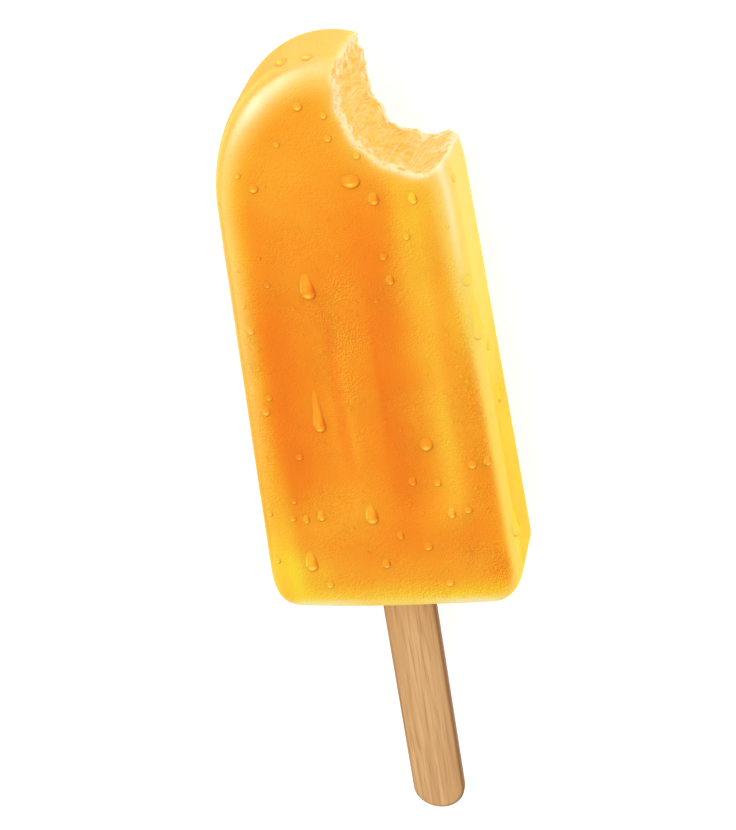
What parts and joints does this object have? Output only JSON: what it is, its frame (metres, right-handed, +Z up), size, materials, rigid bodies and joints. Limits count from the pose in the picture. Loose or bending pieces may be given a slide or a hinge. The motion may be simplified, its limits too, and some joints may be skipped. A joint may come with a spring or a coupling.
{
  "type": "ice lolly",
  "caption": "Bitten orange ice lolly with a domed tip, rounded edges and shallow flutes on each face, frozen round a flat wooden stick with round ends.",
  "frame": {"origin": "under the middle of the lolly's box, on the surface it lies on", "axes": "+Y from the stick end to the domed tip, +X to the bitten side, +Z up out of the front face"},
  "size_m": [0.0474, 0.1604, 0.02],
  "materials": {
    "fruit_ice": "wet, slightly frosted translucent orange ice, paler and more yellow towards its edges and almost white where it is bitten",
    "water": "clear wet drops that take the colour of the ice under them",
    "frost": "pale icy crumbs",
    "stick_wood": "plain sanded birch with fine lengthwise grain"
  },
  "bodies": {
    "root": {"ice": "fruit_ice", "stick": "stick_wood"}
  },
  "joints": []
}
